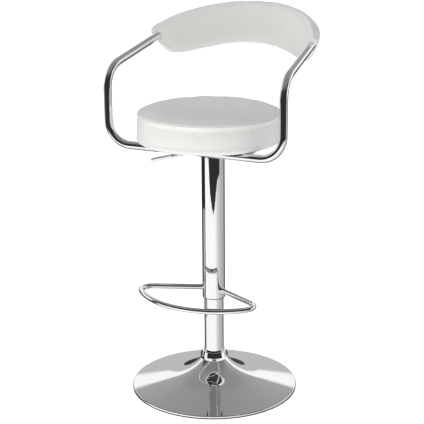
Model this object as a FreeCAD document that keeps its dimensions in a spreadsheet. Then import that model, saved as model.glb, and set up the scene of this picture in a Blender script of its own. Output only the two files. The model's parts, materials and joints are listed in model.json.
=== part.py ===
import FreeCAD, Part
import math
import os
import Sketcher

# Swivel bar stool with a gas lift: a weighted trumpet base on the floor, a fixed lower column,
# a sleeve that slides over it and carries the foot ring, a round upholstered seat and one bent
# tube that makes both arms and holds the curved backrest.
# Millimetres, +Z up. The origin is on the floor on the column's axis and the sitter faces -Y.

doc = FreeCAD.newDocument("Stool")
sheet = doc.addObject("Spreadsheet::Sheet", "Sizes")

FULL_TURN = 360.0
TOLERANCE = 1e-6


class Amount:
    """A number together with the expression on the sheet that gives it."""

    def __init__(self, value, text):
        self.value = float(value)
        self.text = text

    @staticmethod
    def of(other):
        if isinstance(other, Amount):
            return other
        return Amount(other, repr(float(other)))

    def join(self, other, sign, value):
        return Amount(value, "(%s %s %s)" % (self.text, sign, Amount.of(other).text))

    def __add__(self, other):
        return self.join(other, "+", self.value + Amount.of(other).value)

    def __sub__(self, other):
        return self.join(other, "-", self.value - Amount.of(other).value)

    def __mul__(self, other):
        return self.join(other, "*", self.value * Amount.of(other).value)

    def __truediv__(self, other):
        return self.join(other, "/", self.value / Amount.of(other).value)

    def __radd__(self, other):
        return Amount.of(other) + self

    def __rsub__(self, other):
        return Amount.of(other) - self

    def __rmul__(self, other):
        return Amount.of(other) * self

    def __neg__(self):
        return Amount(-self.value, "(-1 * %s)" % self.text)

    def root(self):
        return Amount(math.sqrt(self.value), "sqrt(%s)" % self.text)

    def sine(self):
        return Amount(math.sin(math.radians(self.value)), "sin(%s * 1 deg)" % self.text)

    def cosine(self):
        return Amount(math.cos(math.radians(self.value)), "cos(%s * 1 deg)" % self.text)


ZERO = Amount(0, "0")
rows = []


def size(alias, value, note):
    """Write one driving size on the sheet and return it."""
    row = str(len(rows) + 1)
    rows.append(alias)
    sheet.set("A" + row, note)
    sheet.set("B" + row, repr(value))
    sheet.setAlias("B" + row, alias)
    return Amount(value, "Sizes." + alias)


# ---------------------------------------------------------------- sizes
base_radius = size("base_radius", 205.0, "radius of the base on the floor")
rim_height = size("rim_height", 4.5, "height of the upright lip of the base shell")
flare_start = size("flare_start", 112.0, "radius where the base begins to sweep up")
flare_rise = size("flare_rise", 19.0, "rise of the shallow cone from the lip to the flare")
shell_wall = size("shell_wall", 2.0, "sheet thickness of the base shell")
rim_round = size("rim_round", 2.5, "rounding of the lip's outer edge")
neck_height = size("neck_height", 75.0, "height of the top of the base shell")
neck_room = size("neck_room", 9.0, "how much the base shell's neck exceeds the column's radius")
floor_ring_height = size("floor_ring_height", 3.0, "thickness of the rubber floor ring")
floor_ring_width = size("floor_ring_width", 15.0, "width of the rubber floor ring")
plate_thickness = size("plate_thickness", 2.0, "thickness of the steel bottom plate")
plate_gap = size("plate_gap", 0.4, "gap between the bottom plate and the shell's lip")
bottom_hole_radius = size("bottom_hole_radius", 27.0, "radius of the centre hole underneath")
ballast_radius = size("ballast_radius", 150.0, "radius of the ballast disc")
ballast_thickness = size("ballast_thickness", 10.0, "thickness of the ballast disc")

column_radius = size("column_radius", 24.0, "outer radius of the lower column")
column_wall = size("column_wall", 1.5, "wall of the lower column")
column_top = size("column_top", 455.0, "height of the lower column's top")
flange_radius = size("flange_radius", 62.0, "radius of the column's foot flange")
flange_thickness = size("flange_thickness", 6.0, "thickness of the foot flange")
foot_plug_height = size("foot_plug_height", 8.0, "thickness of the plug in the column's foot")
neck_ring_height = size("neck_ring_height", 20.0, "height of the trim ring at the neck")
neck_ring_wall = size("neck_ring_wall", 6.5, "how much the trim ring's top exceeds the column's radius")
neck_ring_band = size("neck_ring_band", 6.0, "height of the plain band round its foot")
neck_ring_lip = size("neck_ring_lip", 1.5, "step of the band beyond the shell's neck")
neck_seal_wall = size("neck_seal_wall", 1.5, "thickness of the seal round the column")
neck_seal_drop = size("neck_seal_drop", 5.0, "depth of the seal below the trim ring's top")
neck_ring_round = size("neck_ring_round", 2.0, "rounding of the trim ring's upper edge")

bolt_circle = size("bolt_circle", 45.0, "radius of the foot bolts' circle")
bolt_radius = size("bolt_radius", 4.0, "radius of a foot bolt")
bolt_head_radius = size("bolt_head_radius", 7.5, "radius of a foot bolt's head")
bolt_head_height = size("bolt_head_height", 2.4, "height of a foot bolt's head")
bolt_nut_radius = size("bolt_nut_radius", 7.2, "corner radius of a foot bolt's nut")
bolt_nut_height = size("bolt_nut_height", 6.0, "height of a foot bolt's nut")
bolt_slack = size("bolt_slack", 0.3, "clearance of a bolt in its hole")

running_gap = size("running_gap", 0.05, "radial clearance of a sliding or turning fit")
rod_radius = size("rod_radius", 6.0, "radius of the piston rod")
rod_bottom = size("rod_bottom", 10.5, "height of the piston rod's lower end")
piston_height = size("piston_height", 340.0, "height of the piston's lower face")
piston_length = size("piston_length", 16.0, "length of the piston")
buffer_length = size("buffer_length", 6.0, "length of the rubber stop under the piston")
buffer_radius = size("buffer_radius", 10.0, "radius of the rubber stop")
race_radius = size("race_radius", 16.0, "outer radius of the bearing races")
race_thickness = size("race_thickness", 3.0, "thickness of a bearing race")
ball_radius = size("ball_radius", 2.5, "radius of a bearing ball")
ball_circle = size("ball_circle", 11.5, "radius of the balls' circle")
cage_wall = size("cage_wall", 2.0, "height of the bearing cage")
clip_radius = size("clip_radius", 10.0, "outer radius of the retaining clip")
clip_thickness = size("clip_thickness", 1.5, "thickness of the retaining clip")
clip_gap = size("clip_gap", 0.3, "gap between the clip and the plug above it")

cylinder_radius = size("cylinder_radius", 14.0, "outer radius of the gas cylinder")
cylinder_wall = size("cylinder_wall", 2.0, "wall of the gas cylinder")
cylinder_bottom = size("cylinder_bottom", 200.0, "height of the gas cylinder's lower end")
cylinder_drop = size("cylinder_drop", 34.0, "drop of the gas cylinder's upper end below the board")
cylinder_crown = size("cylinder_crown", 10.0, "thickness of the gas cylinder's closed end")
end_seal_length = size("end_seal_length", 12.0, "length of the seal in the lower end")
guide_length = size("guide_length", 60.0, "length of the guide in the column's top")
guide_flange = size("guide_flange", 2.0, "thickness of the guide's collar")

sleeve_room = size("sleeve_room", 4.0, "how much the sleeve's outer radius exceeds the column's")
sleeve_wall = size("sleeve_wall", 1.5, "wall of the sliding sleeve")
sleeve_bottom = size("sleeve_bottom", 236.5, "height of the sleeve's lower end")
sleeve_drop = size("sleeve_drop", 40.0, "drop of the sleeve's upper end below the board")
glide_length = size("glide_length", 28.0, "length of the glide in the sleeve's lower end")
glide_rim = size("glide_rim", 1.8, "thickness of the glide's rim under the sleeve")
hub_radius = size("hub_radius", 21.0, "outer radius of the hub under the seat")
hub_drop = size("hub_drop", 72.0, "drop of the hub's lower end below the board's underside")
hub_throat = size("hub_throat", 10.0, "radius of the hub's bore above the cylinder")
cap_height = size("cap_height", 12.0, "height of the ring between the sleeve and the hub")

foot_height = size("foot_height", 259.0, "height of the foot ring")
foot_tube = size("foot_tube", 6.5, "radius of the foot ring's tube")
foot_wall = size("foot_wall", 1.2, "wall of the foot ring's tube")
foot_reach = size("foot_reach", 170.0, "reach of the foot ring's front in front of the axis")
foot_front_radius = size("foot_front_radius", 195.0, "radius of the foot ring's front arc")
foot_sweep = size("foot_sweep", 25.0, "forward angle of the foot ring's two rear bars, degrees")
foot_corner = size("foot_corner", 27.0, "radius of the foot ring's corners")
foot_turn = size("foot_turn", -2.5, "turn of the foot ring on the sleeve, degrees")
foot_collar = size("foot_collar", 9.5, "radius of the collar where a bar meets the sleeve")
foot_collar_length = size("foot_collar_length", 6.0, "length of that collar")

seat_offset = size("seat_offset", 19.0, "distance of the seat's centre in front of the axis")
seat_radius = size("seat_radius", 172.8, "radius of the upholstered seat")
seat_bottom = size("seat_bottom", 632.0, "height of the underside of the seat board")
seat_side = size("seat_side", 69.0, "height of the seat's upper edge above the board's underside")
seat_dome = size("seat_dome", 10.0, "rise of the seat's middle above its upper edge")
seat_foot_round = size("seat_foot_round", 12.0, "rounding of the cushion's lower edge")
seat_top_round = size("seat_top_round", 12.0, "width of the cushion's sloped upper edge")
board_radius = size("board_radius", 156.0, "radius of the seat board")
board_thickness = size("board_thickness", 12.0, "thickness of the seat board")
wrap_gap = size("wrap_gap", 0.3, "gap between the seat board and the foam round it")

plate_width = size("plate_width", 184.0, "width of the seat's steel plate")
plate_depth = size("plate_depth", 140.0, "depth of the seat's steel plate")
plate_sheet = size("plate_sheet", 4.0, "thickness of the seat's steel plate")
plate_corner = size("plate_corner", 14.0, "corner radius of the seat's steel plate")
plate_bolt_side = size("plate_bolt_side", 76.0, "sideways distance of the seat bolts")
plate_bolt_fore = size("plate_bolt_fore", 54.0, "fore-and-aft distance of the seat bolts")
seat_bolt_radius = size("seat_bolt_radius", 3.0, "radius of a seat bolt")
seat_bolt_head = size("seat_bolt_head", 6.5, "radius of a seat bolt's head")
seat_bolt_head_height = size("seat_bolt_head_height", 3.0, "height of a seat bolt's head")
seat_bolt_grip = size("seat_bolt_grip", 9.0, "length of a seat bolt in the board")

arm_tube = size("arm_tube", 9.5, "radius of the arm frame's tube")
arm_wall = size("arm_wall", 1.5, "wall of the arm frame's tube")
arm_half_width = size("arm_half_width", 225.0, "sideways distance of the upright tubes")
arm_forward = size("arm_forward", 103.0, "distance of the arm frame's cross tube in front")
arm_low_bend = size("arm_low_bend", 57.0, "radius of the bends under the seat")
arm_rise = size("arm_rise", 169.0, "rise of an upright's upper corner above the board's underside")
arm_top_bend = size("arm_top_bend", 60.0, "radius of the bends at the arms")
arm_rear_inset = size("arm_rear_inset", 44.0, "how far an arm's rear corner is inside the backrest's sides")
arm_rear_short = size("arm_rear_short", 124.0, "how far it is in front of the backrest's radius")
arm_slope_rise = size("arm_slope_rise", 55.5, "rise of an arm from its front corner to its rear corner")
arm_rear_bend = size("arm_rear_bend", 36.0, "radius of the bends at the backrest")
arm_end_run = size("arm_end_run", 36.0, "length of the tube from that corner to its end")
arm_end_turn = size("arm_end_turn", 28.0, "angle of the tube's end from straight back, degrees")

tab_side = size("tab_side", 128.0, "sideways distance of the arm frame's tabs")
tab_width = size("tab_width", 30.0, "width of a tab")
tab_sheet = size("tab_sheet", 4.0, "thickness of a tab")
tab_length = size("tab_length", 52.0, "length of a tab behind the cross tube's axis")
tab_start = size("tab_start", 4.0, "start of a tab behind the cross tube's axis")
tab_screw_inset = size("tab_screw_inset", 12.0, "distance of a screw from a tab's end")

back_radius = size("back_radius", 248.0, "radius of the middle of the backrest")
back_axis_along = size("back_axis_along", 12.0, "distance of the backrest's own axis behind the column")
back_rise = size("back_rise", 296.0, "rise of the outline's zero line above the board's underside")
back_tilt = size("back_tilt", 20.0, "backward tilt of the backrest, degrees")
back_spread = size("back_spread", 64.0, "angle from the backrest's middle to either end, degrees")
back_half_depth = size("back_half_depth", 18.0, "half the thickness of the backrest")
back_board = size("back_board", 6.0, "thickness of the backrest's board")
back_top = size("back_top", 90.0, "rise of the backrest's top in the middle")
back_arch = size("back_arch", -20.0, "rise of the backrest's lower edge in the middle")
back_top_short = size("back_top_short", 22.0, "how far the upper corners are inside the backrest's radius")
back_top_end = size("back_top_end", -20.0, "rise of the upper corners")
back_low_short = size("back_low_short", 46.0, "how far the lower corners are inside the backrest's radius")
back_low_end = size("back_low_end", -74.0, "rise of the lower corners")
back_top_round = size("back_top_round", 42.0, "rounding of the upper corners")
back_low_round = size("back_low_round", 26.0, "rounding of the lower corners")
back_rear_inset = size("back_rear_inset", 16.0, "inset of the rear foam from the front foam's outline")
back_inset = size("back_inset", 14.0, "inset of the board from the foam's outline")

lever_pivot = size("lever_pivot", 36.0, "distance of the lever's pivot beside the axis")
lever_drop = size("lever_drop", 32.0, "drop of the lever's pivot below the board's underside")
lever_droop = size("lever_droop", 15.5, "droop of the lever from level, degrees")
lever_rod = size("lever_rod", 4.0, "radius of the lever's rod")
lever_nose = size("lever_nose", 38.0, "length of the lever inside its pivot")
lever_reach = size("lever_reach", 136.0, "length of the lever outside its pivot")
paddle_length = size("paddle_length", 62.0, "length of the lever's paddle")
paddle_width = size("paddle_width", 14.0, "width of the lever's paddle")
paddle_height = size("paddle_height", 8.0, "height of the lever's paddle")
paddle_round = size("paddle_round", 2.5, "rounding of the paddle's edges")
pin_radius = size("pin_radius", 2.0, "radius of the lever's pivot pin")
bracket_gap = size("bracket_gap", 5.0, "half the gap between the lever's two ears")
bracket_sheet = size("bracket_sheet", 3.0, "thickness of an ear")
bracket_width = size("bracket_width", 18.0, "width of an ear")
bracket_drop = size("bracket_drop", 34.0, "drop of an ear below the plate")
slot_half = size("slot_half", 5.2, "half the width of the hub's slot for the lever")
slot_height = size("slot_height", 26.0, "height of the hub's slot for the lever")
slot_sill = size("slot_sill", 2.5, "drop of the slot's sill below the cylinder's top")
valve_radius = size("valve_radius", 3.0, "radius of the valve pin")
valve_depth = size("valve_depth", 8.0, "length of the valve pin in the cylinder's end")
valve_gap = size("valve_gap", 0.3, "gap between the valve pin and the lever")

# ---------------------------------------------------------------- places that follow from them
shell_bottom = floor_ring_height
lip_top = shell_bottom + rim_height
plate_top = floor_ring_height + plate_thickness
ballast_top = plate_top + ballast_thickness
flange_top = ballast_top + flange_thickness
column_bore = column_radius - column_wall
neck_radius = column_radius + neck_room
neck_ring_top = column_radius + neck_ring_wall
sleeve_radius = column_radius + sleeve_room
plug_top = ballast_top + foot_plug_height
lower_race_top = plug_top + race_thickness
ball_centre = lower_race_top + ball_radius
upper_race_bottom = lower_race_top + ball_radius * 2 + running_gap
upper_race_top = upper_race_bottom + race_thickness
seal_radius = column_radius + neck_seal_wall
neck_ring_foot = neck_radius + neck_ring_lip
neck_ring_peak = neck_height + neck_ring_height
sleeve_bore = sleeve_radius - sleeve_wall
cylinder_bore = cylinder_radius - cylinder_wall
seat_plate_bottom = seat_bottom - plate_sheet
seat_seam = seat_bottom + seat_side
seat_crown = seat_seam + seat_dome
sleeve_top = seat_bottom - sleeve_drop
hub_bottom = seat_bottom - hub_drop
cylinder_top = seat_bottom - cylinder_drop
lever_height = seat_bottom - lever_drop
arm_top = seat_bottom + arm_rise
arm_rear_height = arm_top + arm_slope_rise
arm_rear_side = back_radius - arm_rear_inset
arm_rear_back = back_radius - arm_rear_short
back_axis_up = seat_bottom + back_rise
back_top_side = back_radius - back_top_short
back_low_side = back_radius - back_low_short
arm_cross_height = seat_bottom - arm_tube
back_inner = back_radius - back_half_depth
back_outer = back_radius + back_half_depth
board_inner = back_radius - back_board / 2
board_outer = back_radius + back_board / 2

parts = []


def keep(item, label):
    """Give a finished piece its own name and put it on the list of nodes."""
    item.Label = label
    parts.append(item)
    return item


def bind(item, **sizes):
    """Tie properties of an object to the sheet."""
    for prop, amount in sizes.items():
        item.setExpression(prop, Amount.of(amount).text)
    return item


def place(item, across=ZERO, along=ZERO, up=ZERO):
    """Tie an object's position to the sheet."""
    for axis, amount in (("x", across), ("y", along), ("z", up)):
        item.setExpression("Placement.Base." + axis, Amount.of(amount).text)
    return item


def plane_of(body, role):
    """One of a body's own origin planes."""
    return next(item for item in body.Origin.OriginFeatures if item.Role == role)


def fix_point(sketch, geo, pos, point, name):
    """Hold one point of a sketch at the two coordinates that the sheet gives."""
    for letter, kind, axis, amount in (
        ("x", "DistanceX", -2, Amount.of(point[0])),
        ("y", "DistanceY", -1, Amount.of(point[1])),
    ):
        if amount.text == "0":
            sketch.addConstraint(Sketcher.Constraint("PointOnObject", geo, pos, axis))
            continue
        index = sketch.addConstraint(Sketcher.Constraint(kind, -1, 1, geo, pos, amount.value))
        sketch.renameConstraint(index, name + letter)
        sketch.setExpression("Constraints." + name + letter, amount.text)


def arc_between(start, end, radius, side):
    """The arc from start to end whose centre is on the left (1) or the right (-1) of the chord."""
    middle = (start + end) * 0.5
    chord = end - start
    rise = math.sqrt(max(radius ** 2 - (chord.Length / 2) ** 2, 0.0))
    left = FreeCAD.Vector(-chord.y, chord.x, 0).normalize()
    centre = middle + left * (side * rise)
    first = math.atan2(start.y - centre.y, start.x - centre.x)
    last = math.atan2(end.y - centre.y, end.x - centre.x)
    circle = Part.Circle(centre, FreeCAD.Vector(0, 0, 1), radius)
    if side > 0:
        return Part.ArcOfCircle(circle, first, last)
    return Part.ArcOfCircle(circle, last, first)


def flat_sketch(owner, role, name):
    """An empty sketch on one of its body's origin planes."""
    sketch = owner.newObject("Sketcher::SketchObject", name)
    sketch.AttachmentSupport = (plane_of(owner, role), [""])
    sketch.MapMode = "FlatFace"
    return sketch


def draw_line(sketch, points, arcs, closed):
    """Draw runs through the points; arcs maps a run's number to its radius and centre side."""
    flat = [FreeCAD.Vector(Amount.of(p[0]).value, Amount.of(p[1]).value, 0) for p in points]
    count = len(points)
    runs = count if closed else count - 1
    ends = []
    for number in range(runs):
        start = flat[number]
        end = flat[(number + 1) % count]
        if number in arcs:
            radius, side = arcs[number]
            sketch.addGeometry(arc_between(start, end, radius.value, side), False)
            ends.append((1, 2) if side > 0 else (2, 1))
        else:
            sketch.addGeometry(Part.LineSegment(start, end), False)
            ends.append((1, 2))
    for number in range(runs if closed else runs - 1):
        after = (number + 1) % runs
        sketch.addConstraint(
            Sketcher.Constraint("Coincident", number, ends[number][1], after, ends[after][0])
        )
    for number, point in enumerate(points):
        run, end = (number, 0) if number < runs else (number - 1, 1)
        fix_point(sketch, run, ends[run][end], point, "corner%d" % number)
    for number, (radius, side) in arcs.items():
        fix_radius(sketch, number, radius, "bend%d" % number)
    return sketch


def fix_radius(sketch, number, radius, name):
    """Tie the radius of a circle or an arc in a sketch to the sheet."""
    index = sketch.addConstraint(Sketcher.Constraint("Radius", number, radius.value))
    sketch.renameConstraint(index, name)
    sketch.setExpression("Constraints." + name, radius.text)


def draw_circle(sketch, number, radius, point=(ZERO, ZERO)):
    """Draw a circle about a point of a sketch."""
    middle = FreeCAD.Vector(Amount.of(point[0]).value, Amount.of(point[1]).value, 0)
    sketch.addGeometry(Part.Circle(middle, FreeCAD.Vector(0, 0, 1), radius.value), False)
    fix_point(sketch, number, 3, point, "middle%d" % number)
    fix_radius(sketch, number, radius, "round%d" % number)


def outline(owner, role, points, arcs=None, name="Outline"):
    """A closed sketch through the points."""
    return draw_line(flat_sketch(owner, role, name), points, arcs or {}, True)


def body_of(label):
    """A new body named after its node."""
    body = doc.addObject("PartDesign::Body", label)
    return keep(body, label)


def turned(label, points, arcs=None, out=ZERO, up=ZERO):
    """A piece turned about an upright axis, from the outline of its section."""
    body = body_of(label)
    sketch = outline(body, "XZ_Plane", points, arcs)
    turn = body.newObject("PartDesign::Revolution", "Turn")
    turn.Profile = sketch
    turn.ReferenceAxis = (sketch, ["V_Axis"])
    turn.Angle = FULL_TURN
    body.Tip = turn
    place(body, ZERO, out, up)
    return body


def ring(label, inner, outer, bottom, top):
    """A plain ring or tube about the column's axis."""
    return turned(label, [(inner, bottom), (outer, bottom), (outer, top), (inner, top)])


def edges_where(shape, wanted):
    """The names of a shape's edges for which wanted(edge) holds."""
    return ["Edge%d" % (n + 1) for n, edge in enumerate(shape.Edges) if wanted(edge)]


def is_circle_at(radius, height):
    """A test for the full circle of that radius about the axis at that height."""

    def test(edge):
        curve = edge.Curve
        return (
            isinstance(curve, Part.Circle)
            and abs(curve.Radius - radius.value) < 1e-3
            and abs(curve.Center.z - height.value) < 1e-3
        )

    return test


def soften(body, radius, wanted):
    """Round the wanted edges of a body's last feature."""
    doc.recompute()
    last = body.Tip
    names = edges_where(last.Shape, wanted)
    if not names:
        raise RuntimeError("no edge to round on " + body.Label)
    fillet = body.newObject("PartDesign::Fillet", "Rounding")
    fillet.Base = (last, names)
    fillet.Radius = radius.value
    fillet.setExpression("Radius", radius.text)
    body.Tip = fillet
    return fillet


def rod(radius, length, across=ZERO, along=ZERO, up=ZERO, kind="Part::Cylinder"):
    """An upright cylinder bound to the sheet."""
    item = doc.addObject(kind, "Rod")
    bind(item, Radius=radius, Height=length)
    return place(item, across, along, up)


def level_rod(radius, length, across, along, up):
    """A cylinder that lies along Y, bound to the sheet."""
    item = rod(radius, length, across, along, up)
    item.Placement.Rotation = FreeCAD.Rotation(FreeCAD.Vector(1, 0, 0), -FULL_TURN / 4)
    return place(item, across, along, up)


def block(width, depth, height, across, along, up):
    """A box with one corner at the given place."""
    item = doc.addObject("Part::Box", "Block")
    bind(item, Length=width, Width=depth, Height=height)
    return place(item, across, along, up)


def cut(base, tool, label=None):
    """One object less another."""
    item = doc.addObject("Part::Cut", "Cut")
    item.Base = base
    item.Tool = tool
    return keep(item, label) if label else item


def fuse(items, label=None):
    """Several touching objects made one solid."""
    item = doc.addObject("Part::MultiFuse", "Fuse")
    item.Shapes = items
    item.Refine = True
    return keep(item, label) if label else item


def group(items, label):
    """Several like pieces kept as one node."""
    item = doc.addObject("Part::Compound", "Group")
    item.Links = items
    return keep(item, label)


# ---------------------------------------------------------------- base
ring("floor_ring", base_radius - floor_ring_width, base_radius, ZERO, floor_ring_height)
ring("bottom_plate", bottom_hole_radius, base_radius - shell_wall - plate_gap, floor_ring_height, plate_top)
ring("ballast_disc", bottom_hole_radius, ballast_radius, plate_top, ballast_top)


def base_shell():
    """The thin trumpet-shaped shell: a lip, a shallow cone and a flare up to a flat neck."""
    cone_run = base_radius - flare_start
    cone_length = (cone_run * cone_run + flare_rise * flare_rise).root()
    normal_out = flare_rise / cone_length
    normal_up = cone_run / cone_length
    flare_height = lip_top + flare_rise
    run = flare_start - neck_radius
    rise = neck_height - flare_height
    flare_radius = (run * run + rise * rise) / (2 * (rise * normal_up - run * normal_out))
    centre_out = flare_start + flare_radius * normal_out
    centre_up = flare_height + flare_radius * normal_up
    inner_radius = flare_radius + shell_wall
    inner_start = (flare_start - shell_wall * normal_out, flare_height - shell_wall * normal_up)
    neck_inner = neck_height - shell_wall
    drop = centre_up - neck_inner
    inner_neck = centre_out - (inner_radius * inner_radius - drop * drop).root()
    lip_inner = base_radius - shell_wall
    lip_inner_top = inner_start[1] - (lip_inner - inner_start[0]) * flare_rise / cone_run
    body = turned(
        "base_shell",
        [
            (lip_inner, shell_bottom),
            (base_radius, shell_bottom),
            (base_radius, lip_top),
            (flare_start, flare_height),
            (neck_radius, neck_height),
            (seal_radius, neck_height),
            (seal_radius, neck_inner),
            (inner_neck, neck_inner),
            inner_start,
            (lip_inner, lip_inner_top),
        ],
        {3: (flare_radius, -1), 7: (inner_radius, 1)},
    )
    soften(body, rim_round, is_circle_at(base_radius, lip_top))


base_shell()
soften(
    turned(
        "neck_ring",
        [
            (seal_radius, neck_height),
            (neck_ring_foot, neck_height),
            (neck_ring_foot, neck_height + neck_ring_band),
            (neck_ring_top, neck_ring_peak),
            (seal_radius, neck_ring_peak),
        ],
    ),
    neck_ring_round,
    is_circle_at(neck_ring_top, neck_ring_peak),
)
ring("neck_seal", column_radius, seal_radius, neck_height - shell_wall, neck_ring_peak - neck_seal_drop)
ring("lower_column", column_bore, column_radius, ballast_top, column_top)
ring("column_foot_plug", rod_radius + running_gap, column_bore, ballast_top, plug_top)


def drilled(label, radius, hole, thickness, bottom, bore):
    """A round flange with a bore and four bolt holes on the bolt circle."""
    body = body_of(label)
    sketch = flat_sketch(body, "XY_Plane", "Disc")
    draw_circle(sketch, 0, radius)
    draw_circle(sketch, 1, bore)
    pad = body.newObject("PartDesign::Pad", "Disc_Pad")
    pad.Profile = sketch
    bind(pad, Length=thickness)
    body.Tip = pad
    doc.recompute()
    holes = flat_sketch(body, "XY_Plane", "Bolt_Hole")
    draw_circle(holes, 0, hole, (bolt_circle, ZERO))
    pocket = body.newObject("PartDesign::Pocket", "Bolt_Pocket")
    pocket.Profile = holes
    pocket.Type = "ThroughAll"
    pocket.Reversed = True
    body.Tip = pocket
    doc.recompute()
    pattern = body.newObject("PartDesign::PolarPattern", "Bolt_Pattern")
    pattern.Originals = [pocket]
    pattern.Axis = (plane_of(body, "Z_Axis"), [""])
    pattern.Angle = FULL_TURN
    pattern.Occurrences = BOLT_COUNT
    body.Tip = pattern
    place(body, ZERO, ZERO, bottom)
    doc.recompute()
    if not pattern.Shape.Volume < pocket.Shape.Volume < pad.Shape.Volume:
        raise RuntimeError("the bolt holes did not cut " + label)
    return body


BOLT_COUNT = 4
drilled("column_flange", flange_radius, bolt_radius + bolt_slack, flange_thickness, ballast_top, column_radius)


def bolt_places():
    """The four places on the bolt circle, as pairs of amounts."""
    return [(bolt_circle, ZERO), (ZERO, bolt_circle), (-bolt_circle, ZERO), (ZERO, -bolt_circle)]


def drill_piece(number, label):
    """Cut the four bolt holes through one of the flat discs of the base."""
    old = parts.pop(number)
    old.Label = label + "_blank"
    drills = []
    for across, along in bolt_places():
        drills.append(rod(bolt_radius + bolt_slack, ballast_top, across, along, ZERO))
    tool = doc.addObject("Part::Compound", "Drills")
    tool.Links = drills
    item = cut(old, tool)
    item.Label = label
    parts.insert(number, item)


drill_piece(1, "bottom_plate")
drill_piece(2, "ballast_disc")


def foot_bolts():
    """Four bolts up through the bottom plate, the ballast and the flange, with their nuts."""
    bolts = []
    nuts = []
    head_bottom = floor_ring_height - bolt_head_height
    shank_top = flange_top + bolt_nut_height + bolt_head_height
    for across, along in bolt_places():
        head = rod(bolt_head_radius, bolt_head_height, across, along, head_bottom)
        shank = rod(bolt_radius, shank_top - floor_ring_height, across, along, floor_ring_height)
        bolts.append(fuse([head, shank]))
        nut = doc.addObject("Part::Prism", "Nut")
        nut.Polygon = 6
        bind(nut, Circumradius=bolt_nut_radius, Height=bolt_nut_height)
        place(nut, across, along, flange_top)
        bolt_hole = rod(bolt_radius, bolt_nut_height, across, along, flange_top)
        nuts.append(cut(nut, bolt_hole))
    group(bolts, "column_bolts")
    group(nuts, "column_nuts")


foot_bolts()

# ---------------------------------------------------------------- swivel bearing and gas lift
ring("lower_race", rod_radius + running_gap, race_radius, plug_top, lower_race_top)


def bearing():
    """Eight balls in a cage between the two races."""
    balls = []
    holes = []
    ball_count = 8
    cage_bottom = ball_centre - cage_wall / 2
    for number in range(ball_count):
        turn = math.radians(FULL_TURN * number / ball_count)
        across = ball_circle * math.cos(turn)
        along = ball_circle * math.sin(turn)
        ball = doc.addObject("Part::Sphere", "Ball")
        bind(ball, Radius=ball_radius)
        balls.append(place(ball, across, along, ball_centre))
        holes.append(rod(ball_radius + running_gap, cage_wall, across, along, cage_bottom))
    group(balls, "bearing_balls")
    rim = rod(race_radius, cage_wall, up=cage_bottom)
    bore = rod(rod_radius + running_gap * 10, cage_wall, up=cage_bottom)
    pockets = doc.addObject("Part::Compound", "Pockets")
    pockets.Links = holes
    cut(cut(rim, bore), pockets, "bearing_cage")


bearing()
turned(
    "column_guide",
    [
        (cylinder_radius + running_gap, column_top - guide_length),
        (column_bore, column_top - guide_length),
        (column_bore, column_top),
        (column_radius, column_top),
        (column_radius, column_top + guide_flange),
        (cylinder_radius + running_gap, column_top + guide_flange),
    ],
)

ring("upper_race", rod_radius, race_radius, upper_race_bottom, upper_race_top)
clip_top = ballast_top - clip_gap
ring("retaining_clip", rod_radius, clip_radius, clip_top - clip_thickness, clip_top)
turned(
    "piston_rod",
    [
        (ZERO, rod_bottom),
        (rod_radius, rod_bottom),
        (rod_radius, piston_height),
        (ZERO, piston_height),
    ],
)
ring("rod_collar", rod_radius, clip_radius, upper_race_top, upper_race_top + clip_thickness * 4)
ring("rod_buffer", rod_radius, buffer_radius, piston_height - buffer_length, piston_height)
turned(
    "piston",
    [
        (ZERO, piston_height),
        (cylinder_bore - running_gap, piston_height),
        (cylinder_bore - running_gap, piston_height + piston_length),
        (ZERO, piston_height + piston_length),
    ],
)
turned(
    "gas_cylinder",
    [
        (cylinder_bore, cylinder_bottom),
        (cylinder_radius, cylinder_bottom),
        (cylinder_radius, cylinder_top),
        (valve_radius + running_gap, cylinder_top),
        (valve_radius + running_gap, cylinder_top - cylinder_crown),
        (cylinder_bore, cylinder_top - cylinder_crown),
    ],
)
ring("cylinder_seal", rod_radius + running_gap, cylinder_bore, cylinder_bottom, cylinder_bottom + end_seal_length)

# ---------------------------------------------------------------- sliding sleeve and foot ring
ring("outer_sleeve", sleeve_bore, sleeve_radius, sleeve_bottom, sleeve_top)
turned(
    "sleeve_glide",
    [
        (column_radius + running_gap, sleeve_bottom - glide_rim),
        (sleeve_radius, sleeve_bottom - glide_rim),
        (sleeve_radius, sleeve_bottom),
        (sleeve_bore, sleeve_bottom),
        (sleeve_bore, sleeve_bottom + glide_length),
        (column_radius + running_gap, sleeve_bottom + glide_length),
    ],
)
ring("sleeve_cap", hub_radius, sleeve_bore, sleeve_top - cap_height, sleeve_top)


def foot_path(body):
    """Half of the foot ring's centre line: the front arc, a tight corner and a straight bar."""
    centre_up = foot_front_radius - foot_reach
    lean = foot_sweep.sine()
    level = foot_sweep.cosine()
    inside = foot_front_radius - foot_corner
    side_gap = foot_corner + level * centre_up
    reach = (inside * inside - side_gap * side_gap).root() - lean * centre_up
    bar_end = (level * reach, -(lean * reach))
    pivot = (bar_end[0] - lean * foot_corner, bar_end[1] - level * foot_corner)
    scale = foot_front_radius / inside
    front_end = (pivot[0] * scale, centre_up + (pivot[1] - centre_up) * scale)
    path = flat_sketch(body, "XY_Plane", "Path")
    points = [(ZERO, -foot_reach), front_end, bar_end, (ZERO, ZERO)]
    return draw_line(path, points, {0: (foot_front_radius, 1), 1: (foot_corner, 1)}, False)


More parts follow.
